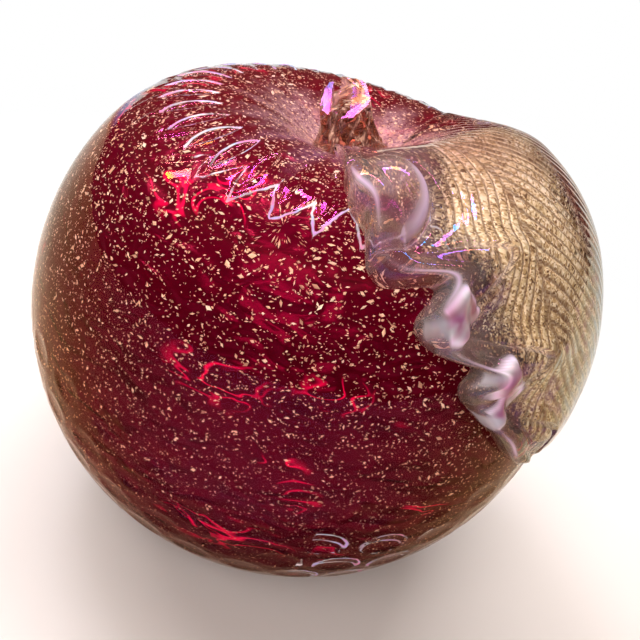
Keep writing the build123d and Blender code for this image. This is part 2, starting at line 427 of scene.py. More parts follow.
# Each painted highlight stroke is the line it follows, half its width, how far it strays and its least
# strength.
painted_highlight_strokes = (
    ("petal_line", 0.16, 0.3, 0.1),
    ("tooth_line", 0.24, 1.5, 0.1),
    ("rim_line", 0.18, 0.7, 0.08),
)


def casing_fineness(radius, height):
    """Closer over the flutes and the optic hollows, wider under the foot."""
    on_shoulder = (height > fluted_height) & (np.abs(radius - fluted_radius) < fluted_reach)
    on_dimples = (height > 15) & (height < 52) & (radius > 40)
    return 0.45 + 1.2 * on_shoulder + 0.85 * on_dimples - 0.3 * ((radius < 20) & (height < 5))


def mould_marks(points):
    """How far the mould raises the skin at points of the smooth form, and how far they lie from its lines.

    The lines are the outlines of the flutes, the toothed edge and the rims of the optic hollows, where
    highlights are painted."""
    x, y, z = points.T
    radius, turn = np.hypot(x, y), np.arctan2(y, x)
    tilt = np.arctan2(radius - shoulder_out, z - shoulder_up)
    top = z > shoulder_up
    flute = (turn - flute_first) * flute_count / (2 * math.pi)
    across = (flute - np.rint(flute)) * 2 * math.pi / flute_count * radius
    along = (tilt - flute_tilt) * shoulder_radius
    lens = np.maximum(flute_half_width * (1 - (along / flute_half_length) ** 2), 0)
    petal = np.abs(across) - lens + np.maximum(np.abs(along) - flute_half_length, 0)
    inside = np.clip(1 - (across / np.maximum(lens, 0.01)) ** 6, 0, 1) * (lens > 0)
    relief = top * (flute_lip * np.exp(-((petal / flute_lip_width) ** 2)) - flute_depth * inside)
    step = flute - np.floor(flute)
    uneven = np.sin(tooth_uneven * np.floor(flute))
    tooth_in = tooth_inner - tooth_spread * uneven
    run = np.where(step < tooth_share, step / tooth_share, (1 - step) / (1 - tooth_share))
    pitch = 2 * math.pi / flute_count * radius + 1
    run_length = pitch * np.where(step < tooth_share, tooth_share, 1 - tooth_share)
    steepness = np.hypot(1, (tooth_outer - tooth_in) * shoulder_radius / run_length)
    tooth = (tilt - tooth_outer - (tooth_in - tooth_outer) * run) * shoulder_radius / steepness
    relief += top * tooth_height * np.exp(-((tooth / tooth_width) ** 2))
    from_burst = np.hypot(x - burst_radius * math.cos(burst_turn), y - burst_radius * math.sin(burst_turn))
    relief -= top * burst_depth * np.exp(-((from_burst / burst_width) ** 2))
    rim = np.full(len(points), far_off)
    for row, height in enumerate(dimple_rows):
        place_in_row = (turn - dimple_first) / dimple_pitch + row / 2
        wide = (place_in_row - np.rint(place_in_row)) * dimple_pitch * radius / dimple_half_width
        tall = (z - height) / dimple_half_height
        reach = np.hypot(wide, tall)
        hollow = np.clip(1 - reach**2, 0, 1)
        beyond = (reach - 1) * dimple_half_height
        edge = np.exp(-((beyond / dimple_lip_width) ** 2))
        relief += (z < dimple_highest) * (z > dimple_lowest) * (dimple_lip * edge - dimple_depth * hollow)
        inner = (np.hypot(wide / crescent_wide, (tall + crescent_low) / crescent_tall) - 1) * crescent_tall
        crescent = np.maximum(beyond, -inner * dimple_half_height)
        rim = np.where(np.abs(crescent) < np.abs(rim), crescent, rim)
    lines = {
        "petal_line": np.where(top & ~((turn > petal_end) & (turn < 0)), petal, far_off),
        "tooth_line": np.where(top & (turn > tooth_start), tooth, far_off),
        "rim_line": np.where((z < dimple_lined) & (np.abs(turn - rim_turn) < rim_spread), rim, far_off),
    }
    return relief, lines


clear_casing = turned("clear_casing_glass", apple_line(0.0, base_edge_radius, 128, casing_fineness), 400)
middles = np.array([face.center for face in clear_casing.data.polygons]) / mm
off_flutes = np.abs(np.hypot(middles[:, 0], middles[:, 1]) - fluted_radius)
fluted = (middles[:, 2] > fluted_height) & (off_flutes < fluted_reach)
bpy.ops.object.mode_set(mode="EDIT")
bpy.ops.mesh.select_all(action="DESELECT")
bpy.ops.object.mode_set(mode="OBJECT")
clear_casing.data.polygons.foreach_set("select", fluted)
bpy.ops.object.mode_set(mode="EDIT")
bpy.ops.mesh.select_mode(type="FACE")
bpy.ops.mesh.subdivide(number_cuts=1)
bpy.ops.mesh.select_mode(type="VERT")
bpy.ops.object.mode_set(mode="OBJECT")
skin = points_of(clear_casing)
radius = np.hypot(skin[:, 0], skin[:, 1])
outward = np.stack([radius - shoulder_out, skin[:, 2] - shoulder_up], axis=1)
on_arc = (skin[:, 2] > fluted_height) & (np.abs(radius - fluted_radius) < fluted_reach + 0.5)
drift = np.where(on_arc, np.hypot(*outward.T) / shoulder_radius, 1.0)
rounded = np.maximum(shoulder_out + (radius - shoulder_out) / drift, 0) / np.maximum(radius, 1e-9)
skin = np.where(
    on_arc[:, None],
    np.stack([skin[:, 0] * rounded, skin[:, 1] * rounded, shoulder_up + outward[:, 1] / drift], axis=1),
    skin,
)
set_points(clear_casing, skin)
normals = np.zeros(len(skin) * 3)
clear_casing.data.vertices.foreach_get("normal", normals)
relief, highlight_line_distances = mould_marks(skin)
set_points(clear_casing, skin + relief[:, None] * normals.reshape(-1, 3))
hollow_out(clear_casing, apple_line(ruby_depth + seam, inner_edge_radius, 40, even), 64)
inside = np.full(len(clear_casing.data.vertices) - len(skin), far_off)
keep(clear_casing, **{name: np.concatenate([apart, inside]) for name, apart in highlight_line_distances.items()})

# Clear lustre glass: crystal, fire polished, under a lustre some hundred nanometres thick, thinner on the
# belly, where it takes the shine off, than on the shoulder, where it gives lilac and pink lights. Pale lilac
# highlights are painted along the marks of the mould, where the glass is clouded to show them.
lustre_low = 180.0
lustre_belly = 128.0
lustre_shoulder = 424.0
lustre_spread = 20.0
casing_glass, add, place = start_material("clear_lustre_glass_casing")
ripple = add("TexNoise", {"Vector": place, "Scale": per(9), "Detail": 1.0})
rippled = add("Bump", {"Height": ripple, "Strength": 0.25, "Distance": 0.6 * mm})
height = add("SeparateXYZ", {"Vector": place}).outputs["Z"]
uneven = add(
    "MapRange",
    {
        "Value": ripple,
        "From Min": 0.3,
        "From Max": 0.7,
        "To Min": lustre_shoulder - lustre_spread,
        "To Max": lustre_shoulder + lustre_spread,
    },
)
below = add(
    "MapRange",
    {"Value": height, "From Min": 28 * mm, "From Max": 60 * mm, "To Min": lustre_low, "To Max": lustre_belly},
)
film = add(
    "MapRange",
    {"Value": height, "From Min": 84 * mm, "From Max": 89 * mm, "To Min": below, "To Max": uneven},
)
shimmer = add("TexNoise", {"Vector": place, "Scale": per(6), "Detail": 2.0, "Distortion": 0.5})
wander = add("TexNoise", {"Vector": place, "Scale": per(2.4), "Detail": 1.0})
wander = add("Math", {0: wander, 1: 0.5}, operation="SUBTRACT")
# Painted highlight: pale lilac strokes along the flute, tooth and hollow lines.
drawn = 0.0
for name, half_width, strays, least in painted_highlight_strokes:
    line = add("Attribute", attribute_name=name).outputs["Fac"]
    apart = add("Math", {0: wander, 1: strays, 2: line}, operation="MULTIPLY_ADD")
    apart = add("Math", {0: apart}, operation="ABSOLUTE")
    strength = add(
        "MapRange", {"Value": shimmer, "From Min": 0.34, "From Max": 0.52, "To Min": least, "To Max": 1.0}
    )
    painted_highlight_stroke = add(
        "MapRange",
        {
            "Value": apart,
            "From Min": 0.5 * half_width,
            "From Max": 1.4 * half_width,
            "To Min": strength,
            "To Max": 0.0,
        },
    )
    drawn = add("Math", {0: drawn, 1: painted_highlight_stroke}, operation="MAXIMUM")
sheen = add("TexNoise", {"Vector": place, "Scale": per(4), "Detail": 1.0})
tint = add(
    "ValToRGB", {"Fac": sheen}, ((0.34, "#f08cc4"), (0.46, "#c9aef2"), (0.56, "#b9dcfa"), (0.66, "#fff2ff"))
)
painted_highlight_colour = add("Mix", {0: drawn, 6: linear("#fffafa"), 7: tint}, data_type="RGBA")
clear = add("MapRange", {"Value": drawn, "To Min": 1.0, "To Max": 0.15})
shader = add(
    "BsdfPrincipled",
    {
        "Base Color": painted_highlight_colour,
        "Roughness": 0.015,
        "IOR": 1.5,
        "Transmission Weight": clear,
        "Thin Film Thickness": film,
        "Thin Film IOR": 1.15,
        "Normal": rippled,
    },
)
add("OutputMaterial", {"Surface": shader})
dress(clear_casing, casing_glass, "clear_lustre_glass", "clear_casing")
clear_casing.visible_shadow = False

# Stem gold: leaf gold folded into the hot bit for the stem and drawn out to streaks with it. It stands as a
# broad core in the stem, folded, and flared at the foot.
stem_lean = math.radians(19.0)
stem_heading = math.radians(212.0)
bowl_bottom = bowl_up - bowl_radius
core_heights = np.array([-1.0, 1.0, 3.5, 6.0, 10.2])
core_radii = np.array([8.0, 6.6, 5.0, 4.2, 3.4])
core_rings = 40
core_end_round = 0.8
core_folds = 7
core_fold_depth = 0.22
core_twist = 0.12


def stand(points):
    """Sets points of the upright stem in the bowl, leaning as it leans."""
    turn = Matrix.Rotation(stem_heading, 3, "Z") @ Matrix.Rotation(stem_lean, 3, "Y")
    return points @ np.array(turn).T + [0, 0, bowl_bottom]


stem_core, ring, turn = ring_sphere("stem_gold_core", 56, core_rings)
height = np.linspace(core_heights[-1], core_heights[0], core_rings + 1)[ring]
from_end = np.minimum(core_heights[-1] - height, height - core_heights[0])
shut = np.clip(from_end / core_end_round, 0, 1) ** 0.5
folds = 1 - core_fold_depth * (0.5 + 0.5 * np.sin(core_folds * (turn + core_twist * height)))
radius = np.interp(height, core_heights, core_radii) * folds * shut
set_points(stem_core, stand(around_axis(radius, turn, height)))

# Streaked gold: leaf gold drawn out along the stem, warm and broken, with dark glass between the streaks.
streaked_gold, add, place = start_material("streaked_leaf_gold")
drawn = add("Mapping", {"Vector": place, "Scale": (1, 1, 0.18)})
streak = add("TexNoise", {"Vector": drawn, "Scale": per(0.9), "Detail": 4.0, "Roughness": 0.65})
tint = add("ValToRGB", {"Fac": streak}, ((0.5, "#4a2428"), (0.57, "#94685a"), (0.66, "#ecd0b8")))
creased = add("Bump", {"Height": streak, "Strength": 0.4, "Distance": 0.3 * mm})
shader = add("BsdfPrincipled", {"Base Color": tint, "Metallic": 0.4, "Roughness": 0.38, "Normal": creased})
torn_off = add("Math", {0: streak, 1: 0.5}, operation="LESS_THAN")
gap = add("BsdfTransparent", {"Color": linear("#f6d6c4")})
streaked = add("MixShader", {0: torn_off, 1: shader, 2: gap})
add("OutputMaterial", {"Surface": streaked})
dress(stem_core, streaked_gold, "gold_flecked_glass", "stem_gold")

# Stem: a clear bit dropped in the bowl, drawn up while hot and cut off with the shears. The cut left a
# slanted, split tip, and the tools left long soft facets down its sides.
stem_heights = np.array([-6.0, -1.0, 0.0, 1.0, 3.5, 7.0, 12.0, 17.8])
stem_radii = np.array([9.0, 10.6, 10.0, 9.0, 6.6, 5.4, 5.05, 4.8])
stem_height = 12.2
cut_slope = math.radians(28.0)
nick_width = 1.6
nick_depth = 2.0
nick_offset = 1.8
nick_length = 24.0
stem_facets = 5
stem_facet_depth = 0.06
stem_facet_twist = 0.08
stem_edge_round = 0.25
stem_rings = 96

stem, ring, turn = ring_sphere("stem_glass", 96, stem_rings)
height = np.linspace(stem_heights[-1], stem_heights[0], stem_rings + 1)[ring]
drawn_in = 0.5 - 0.5 * np.cos(stem_facets * (turn + stem_facet_twist * height))
radius = np.interp(height, stem_heights, stem_radii) * (1 - stem_facet_depth * drawn_in)
radius = np.where((ring == 0) | (ring == stem_rings), 0, radius)
set_points(stem, around_axis(radius, turn, height))
bpy.ops.object.mode_set(mode="EDIT")
bpy.ops.mesh.select_all(action="SELECT")
bpy.ops.mesh.bisect(
    plane_co=(0, 0, stem_height * mm),
    plane_no=(0, math.sin(cut_slope), math.cos(cut_slope)),
    use_fill=True,
    clear_outer=True,
)
bpy.ops.object.mode_set(mode="OBJECT")
bpy.ops.object.select_all(action="DESELECT")
bpy.ops.mesh.primitive_cube_add(size=1.0)
nick = bpy.context.active_object
nick.scale = (nick_width * mm, nick_length * mm, 2 * nick_depth * mm)
nick.rotation_euler = (-cut_slope, 0, 0)
nick.location = (nick_offset * mm, 0, stem_height * mm)
bpy.ops.object.transform_apply(location=True, rotation=True, scale=True)
bpy.context.view_layer.objects.active = stem
split_tip = stem.modifiers.new("split_tip", "BOOLEAN")
split_tip.object = nick
split_tip.operation = "DIFFERENCE"
bpy.ops.object.modifier_apply(modifier="split_tip")
soft_edges = stem.modifiers.new("soft_edges", "BEVEL")
soft_edges.width = stem_edge_round * mm
soft_edges.segments = 2
soft_edges.limit_method = "ANGLE"
soft_edges.angle_limit = math.radians(40)
bpy.ops.object.modifier_apply(modifier="soft_edges")
bpy.data.objects.remove(nick)
set_points(stem, stand(points_of(stem)))
bpy.ops.object.select_all(action="DESELECT")
stem.select_set(True)
bpy.context.view_layer.objects.active = stem
bpy.ops.object.shade_smooth_by_angle(angle=math.radians(35))

# Clear lustre glass of the bits: the same glass as the casing, with a thicker, rosier lustre. Along the frill
# it is a little clouded, with painted pale highlights at the rims, folds and curl, and painted pink
# reflections where the tongs pinched it.
bit_lustre_thin = 325.0
bit_lustre_thick = 405.0
bit_glass, add, place = start_material("clear_lustre_glass_bits")
cords = add("TexNoise", {"Vector": place, "Scale": per(3.0), "Detail": 2.0})
corded = add("Bump", {"Height": cords, "Strength": 0.12, "Distance": 0.3 * mm})
film = add(
    "MapRange",
    {
        "Value": cords,
        "From Min": 0.35,
        "From Max": 0.65,
        "To Min": bit_lustre_thin,
        "To Max": bit_lustre_thick,
    },
)
smoke = add("TexNoise", {"Vector": place, "Scale": per(8), "Detail": 2.0, "Distortion": 1.0})
smoky = add("ValToRGB", {"Fac": smoke}, ((0.34, "#b4889a"), (0.5, "#ccb8a8"), (0.68, "#eadde2")))
shimmer = add("TexNoise", {"Vector": place, "Scale": per(5), "Detail": 1.0, "Distortion": 0.6})
painted_pink_reflection = add("ValToRGB", {"Fac": shimmer}, ((0.36, "#cc7aa8"), (0.5, "#e8c2da"), (0.64, "#f2f0fb")))
clouded = linear("#fff3ee")
clear = 1.0
# The rim colour is a painted pale highlight, and the pinch colour a painted pink reflection.
for name, share, colour in (
    ("milk", 0.12, smoky),
    ("margin", 0.28, linear("#8c5050")),
    ("rim", 0.6, linear("#e6d0f4")),
    ("pinch", 0.36, painted_pink_reflection),
):
    amount = add("Attribute", attribute_name=name).outputs["Fac"]
    clouded = add("Mix", {0: amount, 6: clouded, 7: colour}, data_type="RGBA")
    clear = add("Math", {0: amount, 1: -share, 2: clear}, operation="MULTIPLY_ADD", use_clamp=True)
shader = add(
    "BsdfPrincipled",
    {
        "Base Color": clouded,
        "Roughness": 0.02,
        "IOR": 1.5,
        "Transmission Weight": clear,
        "Thin Film Thickness": film,
        "Thin Film IOR": 1.3,
        "Normal": corded,
    },
)
add("OutputMaterial", {"Surface": shader})
dress(stem, bit_glass, "clear_lustre_glass", "stem")
stem.visible_shadow = False

# Leaf gold: leaf gold laid on the hot leaf bit and gathered over, then pressed in a leaf mould with it. It
# fills the middle of the leaf, speckled where the pressing tore it, and thins to dust at the clear edges.
leaf_start = 7.0
leaf_end = 84.0
leaf_rise = 6.7
leaf_base_rise = 1.8
leaf_tip_rise = 3.2
leaf_edge_rise = 6.6
leaf_edge_round = 2.0
leaf_left_width = 28.5
leaf_left_base = 10.0
leaf_right_width = 36.0
leaf_right_base = 24.0
leaf_tip_width = 2.0
leaf_swell = 20.0
leaf_bend = 1.8
leaf_taper = 3.6
frill_start = 14.0
frill_waves = 4
frill_crowding = 1.15
frill_pull = 4.5
frill_pull_start = 20.0
frill_pull_end = 80.0
frill_pull_ease = 16.0
frill_round = 4.0
frill_lift = 4.5
frill_first_low = 0.42
frill_first_end = 36.0
frill_first_ease = 6.0
frill_reach = 22.0
frill_thickness = 3.2
leaf_gold_height = 1.7
leaf_gold_thickness = 0.8
leaf_gold_margin = 2.0
leaf_gold_left = 19.5
leaf_gold_left_tip = 6.4
leaf_gold_widest = 38.0
leaf_gold_draw = 1.3
leaf_gold_right = 12.5
leaf_gold_right_tip = 22.0
leaf_gold_right_tip_start = 54.0
leaf_gold_right_tip_end = 72.0
leaf_gold_fringe = 15.0
leaf_gold_right_base = 26.0
leaf_gold_right_start = 20.0
leaf_gold_right_end = 44.0
leaf_gold_base = 12.0
leaf_gold_tip = 6.0
leaf_end_round = 2.5
midrib_shift = 4.5
midrib_shift_start = 30.0
midrib_shift_length = 14.0
midrib_width = 0.9
vein_pitch = 2.1
vein_angle_left = math.radians(23.0)
vein_angle_right = math.radians(48.0)
gold_vein_depth = 0.3
gold_thinning = 8.0
gold_dust = 0.04
gold_dust_right = 0.3


def clear_of_skin(radius, height):
    """How far points lie off the apple's skin."""
    out, up = radius - shoulder_out, height - shoulder_up
    on_belly = radius * math.cos(shoulder_angle) > (height - belly_height) * math.sin(shoulder_angle)
    on_shoulder = out * math.cos(bowl_angle) > -up * math.sin(bowl_angle)
    off_belly = np.hypot(radius, height - belly_height) - belly_radius
    off_shoulder = np.hypot(out, up) - shoulder_radius
    off_bowl = bowl_radius - np.hypot(radius, height - bowl_up)
    return np.where(on_belly, off_belly, np.where(on_shoulder, off_shoulder, off_bowl))


def over_skin(station, across, height):
    """Places at a length along the midrib, a distance across it and a height over the skin."""
    bowl_end = bowl_radius * bowl_angle
    shoulder_end = bowl_end + shoulder_radius * (bowl_angle + shoulder_angle)
    in_bowl, on_shoulder = station < bowl_end, station < shoulder_end
    slope = np.where(
        in_bowl,
        -station / bowl_radius,
        np.where(
            on_shoulder,
            (station - bowl_end) / shoulder_radius - bowl_angle,
            (station - shoulder_end) / belly_radius + shoulder_angle,
        ),
    )
    reach = np.where(in_bowl, -bowl_radius, np.where(on_shoulder, shoulder_radius, belly_radius))
    out = np.where(on_shoulder & ~in_bowl, shoulder_out, 0.0) + reach * np.sin(slope)
    up = np.where(in_bowl, bowl_up, np.where(on_shoulder, shoulder_up, belly_height)) + reach * np.cos(slope)
    lift = height.copy()
    for _ in range(40):
        x, z = out + lift * np.sin(slope), up + lift * np.cos(slope)
        lift += height - clear_of_skin(np.hypot(x, across), z)
    return np.stack([out + lift * np.sin(slope), across, up + lift * np.cos(slope)], axis=1)


def smooth(share):
    share = np.clip(share, 0, 1)
    return share * share * (3 - 2 * share)


def along_leaf(station):
    """Share of the leaf's length, share of its swelling from the base, and how far the frill is thrown up."""
    length = np.clip((station - leaf_start) / (leaf_end - leaf_start), 0, 1)
    frilled = np.clip((station - frill_start) / (leaf_end - frill_start), 0, 1)
    frill = (1 - np.cos(2 * math.pi * frill_waves * frilled**frill_crowding)) / 2
    return length, smooth((station - leaf_start) / leaf_swell), frill


def leaf_widths(station):
    """How far the leaf reaches to the left and to the right of its midrib."""
    length, swell, frill = along_leaf(station)
    taper = 1 - length**leaf_taper
    from_pull_end = np.minimum(station - frill_pull_start, frill_pull_end - station)
    pulled = frill**frill_round * smooth(from_pull_end / frill_pull_ease)
    left = (leaf_left_base + (leaf_left_width - leaf_left_base) * swell - frill_pull * pulled) * taper
    right = (leaf_right_base + (leaf_right_width - leaf_right_base) * swell) * taper
    return np.maximum(left, leaf_tip_width), np.maximum(right, leaf_tip_width)


def leaf_levels(station, across):
    """How far the frill raises the leaf off the skin, and how thick the leaf is there."""
    left, right = leaf_widths(station)
    length, swell, frill = along_leaf(station)
    raised = frill_lift * frill * (1 - length**leaf_taper) * smooth(1 - (left + across) / frill_reach)
    raised *= 1 - frill_first_low * smooth((frill_first_end - station) / frill_first_ease)
    rise = leaf_base_rise + (leaf_rise - leaf_base_rise) * swell
    rise += (leaf_tip_rise - leaf_rise) * length**leaf_taper
    right_edge = rise + (np.minimum(leaf_edge_rise, rise) - rise) * np.clip(across / right, 0, 1) ** 4
    left_edge = rise + (np.minimum(frill_thickness, rise) - rise) * np.clip(across / left, -1, 0) ** 2
    return raised, np.where(across > 0, right_edge, left_edge)


def vein_count(station, across):
    """Veins counted along the leaf from its base to a place, and how far the place is from the midrib.

    The veins wobble by half a millimetre, as they were cut in the mould by hand."""
    from_rib = across + midrib_shift * smooth((station - midrib_shift_start) / midrib_shift_length)
    angle = np.where(from_rib < 0, vein_angle_left, vein_angle_right)
    side = np.abs(from_rib)
    wobble = 0.5 * np.sin(side / 2.7 + station / 9) + 0.4 * np.sin(station / 4.1)
    return ((station + wobble) * np.sin(angle) - side * np.cos(angle)) / vein_pitch, from_rib


def vein_valley(station, across):
    """How deep in a furrow between the leaf's veins a place lies, from 0 to 1."""
    count, from_rib = vein_count(station, across)
    return np.maximum(0.5 + 0.5 * np.cos(2 * math.pi * count), np.exp(-((from_rib / midrib_width) ** 2)))


def leaf_form(name, first, last, counts, rings, edge_round, lean, section):
    """A closed form whose rings are sections of the leaf.

    counts are the points over the top, round an edge and along the underside. lean is how far the foot of the
    left edge stays behind its top."""
    top, edge, under = counts
    piece, ring, turn = ring_sphere(name, top + under + 2 * edge, rings)
    spot = np.rint((turn + math.pi) / (2 * math.pi) * (top + under + 2 * edge)) % (top + under + 2 * edge)
    corners = [0, top, top + edge, top + edge + under, top + under + 2 * edge]
    share = np.interp(spot, corners, [-1, 1, 1, -1, -1])
    round_edge = np.interp(spot, corners, [0, 0, math.pi, math.pi, 2 * math.pi])
    station = np.linspace(first, last, rings + 1)[ring]
    across, bottom, upper = section(station, share)
    across = across + edge_round * np.abs(np.sin(round_edge)) * np.sign(share)
    across += lean * np.maximum(-share, 0) * (1 - np.cos(round_edge)) / 2
    height = bottom + (upper - bottom) * (1 + np.cos(round_edge)) / 2
    shut = np.clip(np.minimum(station - first, last - station) / leaf_end_round, 0, 1)
    shut = np.sqrt(1 - (1 - shut) ** 2)
    middle = (bottom + upper) / 2
    length = along_leaf(station)[0]
    placed = over_skin(station, across * shut - leaf_bend * length**3, middle + (height - middle) * shut)
    set_points(piece, placed)
    return piece, station, across, round_edge


def gold_reach(station):
    """How far the gold lies whole to the left and to the right of the midrib."""
    spread = smooth((station - frill_start) / (leaf_gold_widest - frill_start))
    drawn = (np.maximum(station - leaf_gold_widest, 0) / (leaf_end - leaf_gold_widest)) ** leaf_gold_draw
    narrowed = smooth((station - leaf_gold_right_start) / (leaf_gold_right_end - leaf_gold_right_start))
    near_tip = (station - leaf_gold_right_tip_start) / (leaf_gold_right_tip_end - leaf_gold_right_tip_start)
    widened = (leaf_gold_right_tip - leaf_gold_right) * smooth(near_tip)
    return (
        leaf_gold_left * spread + (leaf_gold_left_tip - leaf_gold_left) * drawn,
        leaf_gold_right_base + (leaf_gold_right - leaf_gold_right_base) * narrowed + widened,
    )


def gold_section(station, share):
    left, right = (np.maximum(reach - leaf_gold_margin, leaf_tip_width) for reach in leaf_widths(station))
    across = np.where(share < 0, share * left, share * right)
    bottom = leaf_levels(station, across)[0] + leaf_gold_height
    return across, bottom, bottom + leaf_gold_thickness - gold_vein_depth * vein_valley(station, across)


leaf_foil, station, across, _ = leaf_form(
    "leaf_gold_foil",
    leaf_start + leaf_gold_base,
    leaf_end - leaf_gold_tip,
    counts=(220, 4, 40),
    rings=170,
    edge_round=leaf_gold_thickness / 2,
    lean=0.0,
    section=gold_section,
)
count, from_rib = vein_count(station, across)
whole = smooth((gold_reach(station)[0] + across) / gold_thinning + 0.5)
whole *= smooth((gold_reach(station)[1] - across) / leaf_gold_fringe + 0.5)
dust = np.where(across > 0, gold_dust_right, gold_dust)
keep(leaf_foil, vein=count, rib=from_rib, cover=dust + (1 - dust) * whole)

# Pressed leaf gold: pale gold foil torn to fine speckles, redder near the stem, with painted shade in the
# furrows and along the midrib.
pressed_gold, add, place = start_material("pressed_leaf_gold")
stem_foot = (6 * mm, 0, 96 * mm)
speckle = add("TexVoronoi", {"Vector": place, "Scale": per(0.34)})
glitter = add("SeparateColor", {"Color": speckle.outputs["Color"]})
patches = add("TexNoise", {"Vector": place, "Scale": per(6), "Detail": 2.0})
grain = add("Mix", {0: 0.68, 2: patches, 3: glitter.outputs["Red"]}, data_type="FLOAT")
tint = add(
    "ValToRGB", {"Fac": grain}, ((0.18, "#6a4a2e"), (0.36, "#bca078"), (0.6, "#e6d4b4"), (0.82, "#fff6e6"))
)
to_tip = add("VectorMath", {0: place, 1: stem_foot}, operation="DISTANCE")
to_tip = add("MapRange", {"Value": to_tip, "From Min": 14 * mm, "From Max": 84 * mm})
cast = add("ValToRGB", {"Fac": to_tip}, ((0, "#d2b0a8"), (0.28, "#f6f4ec"), (0.85, "#d2ccb0")))
tint = add("Mix", {0: 1.0, 6: tint, 7: cast}, data_type="RGBA", blend_type="MULTIPLY")
vein = add("Attribute", attribute_name="vein").outputs["Fac"]
furrow_painted_shade = add("Math", {0: vein, 1: 2 * math.pi}, operation="MULTIPLY")
furrow_painted_shade = add("Math", {0: furrow_painted_shade}, operation="COSINE")
furrow_painted_shade = add("MapRange", {"Value": furrow_painted_shade, "From Min": 0.0, "From Max": 0.9, "To Max": 0.72})
rib = add("Attribute", attribute_name="rib").outputs["Fac"]
midrib_painted_shade = add("Math", {0: rib}, operation="ABSOLUTE")
midrib_painted_shade = add(
    "MapRange", {"Value": midrib_painted_shade, "From Min": 0.35, "From Max": midrib_width, "To Min": 0.6, "To Max": 0.0}
)
furrow_painted_shade = add("Math", {0: furrow_painted_shade, 1: midrib_painted_shade}, operation="MAXIMUM")
tint = add("Mix", {0: furrow_painted_shade, 6: tint, 7: linear("#664632")}, data_type="RGBA")
torn = add("Bump", {"Height": grain, "Strength": 0.3, "Distance": 0.1 * mm})
shader = add("BsdfPrincipled", {"Base Color": tint, "Metallic": 0.2, "Roughness": 0.36, "Normal": torn})
covered = add("Attribute", attribute_name="cover").outputs["Fac"]
torn_off = add("Math", {0: glitter.outputs["Green"], 1: covered}, operation="GREATER_THAN")
foil = add("MixShader", {0: torn_off, 1: shader, 2: add("BsdfTransparent")})
add("OutputMaterial", {"Surface": foil})
dress(leaf_foil, pressed_gold, "gold_leaf_in_glass", "leaf_gold")

# Leaf blade: the clear bit round the gold, pressed with veins, laid hot over bowl and shoulder and fused to
# the casing. One side is pinched to a frill that curls at its head and leans out in waves.
leaf_sink = 4.7
frill_arch = 0.9
vein_depth = 0.08
bead_height = 1.1
bead_width = 1.7
bead_flattened = 0.7
frill_lean = 4.0
frill_swell = 8.0
frill_tip_ease = 6.0
vein_ease = 3.0
milk_reach = 5.0
rim_width = 0.5
rim_fall = 2.0
rim_faintest = 0.15
fold_depth = 1.3
fold_width = 0.8
fold_reach = 8.0
fold_ease = 4.0
fold_painted_highlight = 0.25
curl_station = 27.0
curl_across = -26.5
curl_radius = 7.8
curl_rise = 2.0
curl_rim_width = 3.0
# Each pinch is its place along and across the leaf, half its length and width, its height and its turn.
pinches = (
    (50.0, -26.5, 3.5, 3.5, 2.4, 0.7),
    (61.5, -20.0, 2.8, 2.8, 2.0, 0.4),
    (69.0, -18.5, 6.0, 2.2, 1.0, -0.5),
)


def pinched(station, across):
    """How far each pinch of the tongs raised the glass, as shares of its height, and that height."""
    marks = []
    for at, side, length, width, height, turn in pinches:
        along_pinch = math.cos(turn) * (station - at) + math.sin(turn) * (across - side)
        over_pinch = math.cos(turn) * (across - side) - math.sin(turn) * (station - at)
        flat = np.exp(-((along_pinch / length) ** 6) - (over_pinch / width) ** 6)
        marks.append((flat, height * (1 - 0.25 * over_pinch / width)))
    return marks


def folded(station, across):
    """How deep in the fold at the foot of a lobe of the frill a place lies, from 0 to 1."""
    frill = along_leaf(station)[2] * smooth((station - frill_first_end) / fold_ease)
    off_fold = leaf_widths(station)[0] + across - fold_reach * frill
    from_curl = np.hypot(station - curl_station, across - curl_across) - curl_radius
    in_fold = frill * np.exp(-((off_fold / fold_width) ** 2))
    return np.maximum(in_fold, np.exp(-((from_curl / fold_width) ** 2)))


def curled(station, across):
    """How far up the round curl at the head of the frill a place lies, and how well on the painted bright
    crescent along its far side, both from 0 to 1."""
    along, over = station - curl_station, across - curl_across
    share = np.hypot(along, over) / curl_radius
    far_side = smooth((along + over) / curl_radius - 0.1)
    on_crescent = smooth((1 - share) * curl_radius) * smooth((share - 1) * curl_radius / curl_rim_width + 1.5)
    return np.clip(1 - share**4, 0, 1), far_side * on_crescent


def blade_section(station, share):
    left, right = leaf_widths(station)
    left = left + frill_lean
    across = np.where(share < 0, share * left, share * right)
    raised, thickness = leaf_levels(station, across)
    veined = smooth((gold_reach(station)[0] + across) / vein_ease + 0.5)
    veined *= smooth((right - across) / vein_ease + 0.2)
    upper = raised + thickness - vein_depth * veined * vein_valley(station, across)
    frilled = smooth((station - frill_start) / frill_swell) * (1 - bead_flattened * along_leaf(station)[2])
    upper += bead_height * frilled * np.exp(-(((left + across - bead_width) / bead_width) ** 2))
    upper += sum(flat * height for flat, height in pinched(station, across))
    upper += curl_rise * curled(station, across)[0] - fold_depth * folded(station, across)
    return across, raised * frill_arch - leaf_sink, upper


